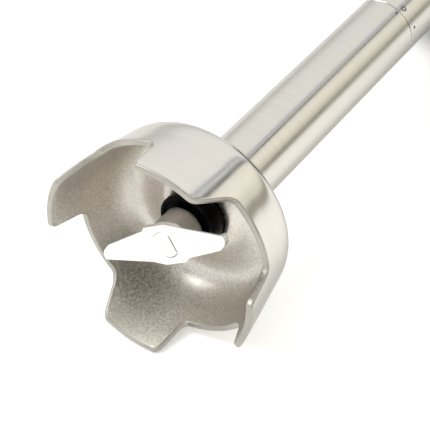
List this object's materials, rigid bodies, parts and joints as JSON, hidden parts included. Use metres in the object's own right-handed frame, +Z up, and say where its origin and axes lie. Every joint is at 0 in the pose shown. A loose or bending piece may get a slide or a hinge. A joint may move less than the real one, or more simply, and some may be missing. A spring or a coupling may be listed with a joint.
{
  "type": "immersion blender",
  "caption": "Hand-held immersion blender: slotted steel bell guard round a two-wing blade, steel shaft tube, twist-lock joint and motor handle with push buttons and a speed wheel.",
  "frame": {"origin": "centre of the bounding box in X and Y, on the surface that the blender lies on", "axes": "+X along the blender from the bell's rim to the cord inlet, +Z up, with the buttons facing up"},
  "size_m": [0.4, 0.0712, 0.0712],
  "materials": {
    "satin_steel": "satin polished stainless, fine lines round the axis",
    "blade_steel": "bright ground stainless",
    "shaft_steel": "turned steel",
    "spring_steel": "drawn wire",
    "bearing_steel": "ground",
    "screw_steel": "zinc plated",
    "bronze": "sintered",
    "seal_rubber": "smooth",
    "black_plastic": "moulded",
    "housing_plastic": "fine moulded grain",
    "grip_rubber": "soft touch",
    "ring_chrome": "polished",
    "button_plastic": "satin",
    "dial_plastic": "ridged edge",
    "laminations": "stacked sheet",
    "copper": "lacquered wire",
    "bracket_aluminium": "die cast",
    "carbon": "pressed",
    "circuit_board": "laminate",
    "component_plastic": "moulded"
  },
  "bodies": {
    "motor_unit": {"left_shell": "housing_plastic", "right_shell": "housing_plastic", "grip_panel": "grip_rubber", "rest_pad": "grip_rubber", "end_cap": "housing_plastic", "cord_gland": "seal_rubber", "housing_screws": "screw_steel", "neck_ring": "ring_chrome", "neck_sleeve": "satin_steel", "bayonet_socket": "black_plastic", "front_bracket": "bracket_aluminium", "rear_bracket": "bracket_aluminium", "front_bearing": "bearing_steel", "rear_bearing": "bearing_steel", "stator_core": "laminations", "field_coils": "copper", "motor_screws": "screw_steel", "brush_holders": "black_plastic", "carbon_brushes": "carbon", "brush_springs": "spring_steel", "front_damper": "seal_rubber", "rear_damper": "seal_rubber", "control_board": "circuit_board", "suppressor": "component_plastic", "speed_control": "component_plastic", "power_switch": "component_plastic", "turbo_switch": "component_plastic", "power_spring": "spring_steel", "turbo_spring": "spring_steel"},
    "foot": {"bell_guard": "satin_steel", "shaft_tube": "satin_steel", "seal_carrier": "black_plastic", "lip_seal": "seal_rubber", "lower_bush": "bronze", "mid_carrier": "black_plastic", "mid_bush": "bronze", "upper_bush": "bronze", "lock_collar": "black_plastic", "joint_o_ring": "seal_rubber"},
    "drive_line": {"blade": "blade_steel", "blade_hub": "shaft_steel", "drive_shaft": "shaft_steel", "thrust_washer": "shaft_steel", "shaft_clip": "spring_steel", "foot_coupling": "black_plastic"},
    "rotor": {"motor_shaft": "shaft_steel", "motor_coupling": "black_plastic", "armature_core": "laminations", "armature_windings": "copper", "commutator": "copper", "cooling_fan": "black_plastic"},
    "power_key": {"power_button": "button_plastic"},
    "turbo_key": {"turbo_button": "button_plastic"},
    "dial": {"speed_dial": "dial_plastic"}
  },
  "joints": [
    {"name": "foot_twist", "type": "hinge", "parent": "motor_unit", "child": "foot", "pos_m": [-0.0548, 0, 0.0356], "axis": [1, 0, 0], "range_deg": [0, 38]},
    {"name": "rotor_spin", "type": "hinge", "parent": "motor_unit", "child": "rotor", "pos_m": [0.03, 0, 0.0356], "axis": [1, 0, 0], "continuous": true},
    {"name": "drive_spin", "type": "hinge", "parent": "motor_unit", "child": "drive_line", "pos_m": [-0.12, 0, 0.0356], "axis": [1, 0, 0], "continuous": true},
    {"name": "power_press", "type": "slide", "parent": "motor_unit", "child": "power_key", "axis": [0, 0, -1], "range_m": [0, 0.0025], "stiffness_N_per_m": 600, "springref_m": -0.004, "deforming": ["power_spring"]},
    {"name": "turbo_press", "type": "slide", "parent": "motor_unit", "child": "turbo_key", "axis": [0, 0, -1], "range_m": [0, 0.0025], "stiffness_N_per_m": 600, "springref_m": -0.004, "deforming": ["turbo_spring"]},
    {"name": "speed_turn", "type": "hinge", "parent": "motor_unit", "child": "dial", "pos_m": [0.17, 0, 0.053], "axis": [0, 1, 0], "range_deg": [0, 270]}
  ],
  "couplings": [
    {"joint": "drive_spin", "follows": "rotor_spin", "ratio": 1}
  ]
}
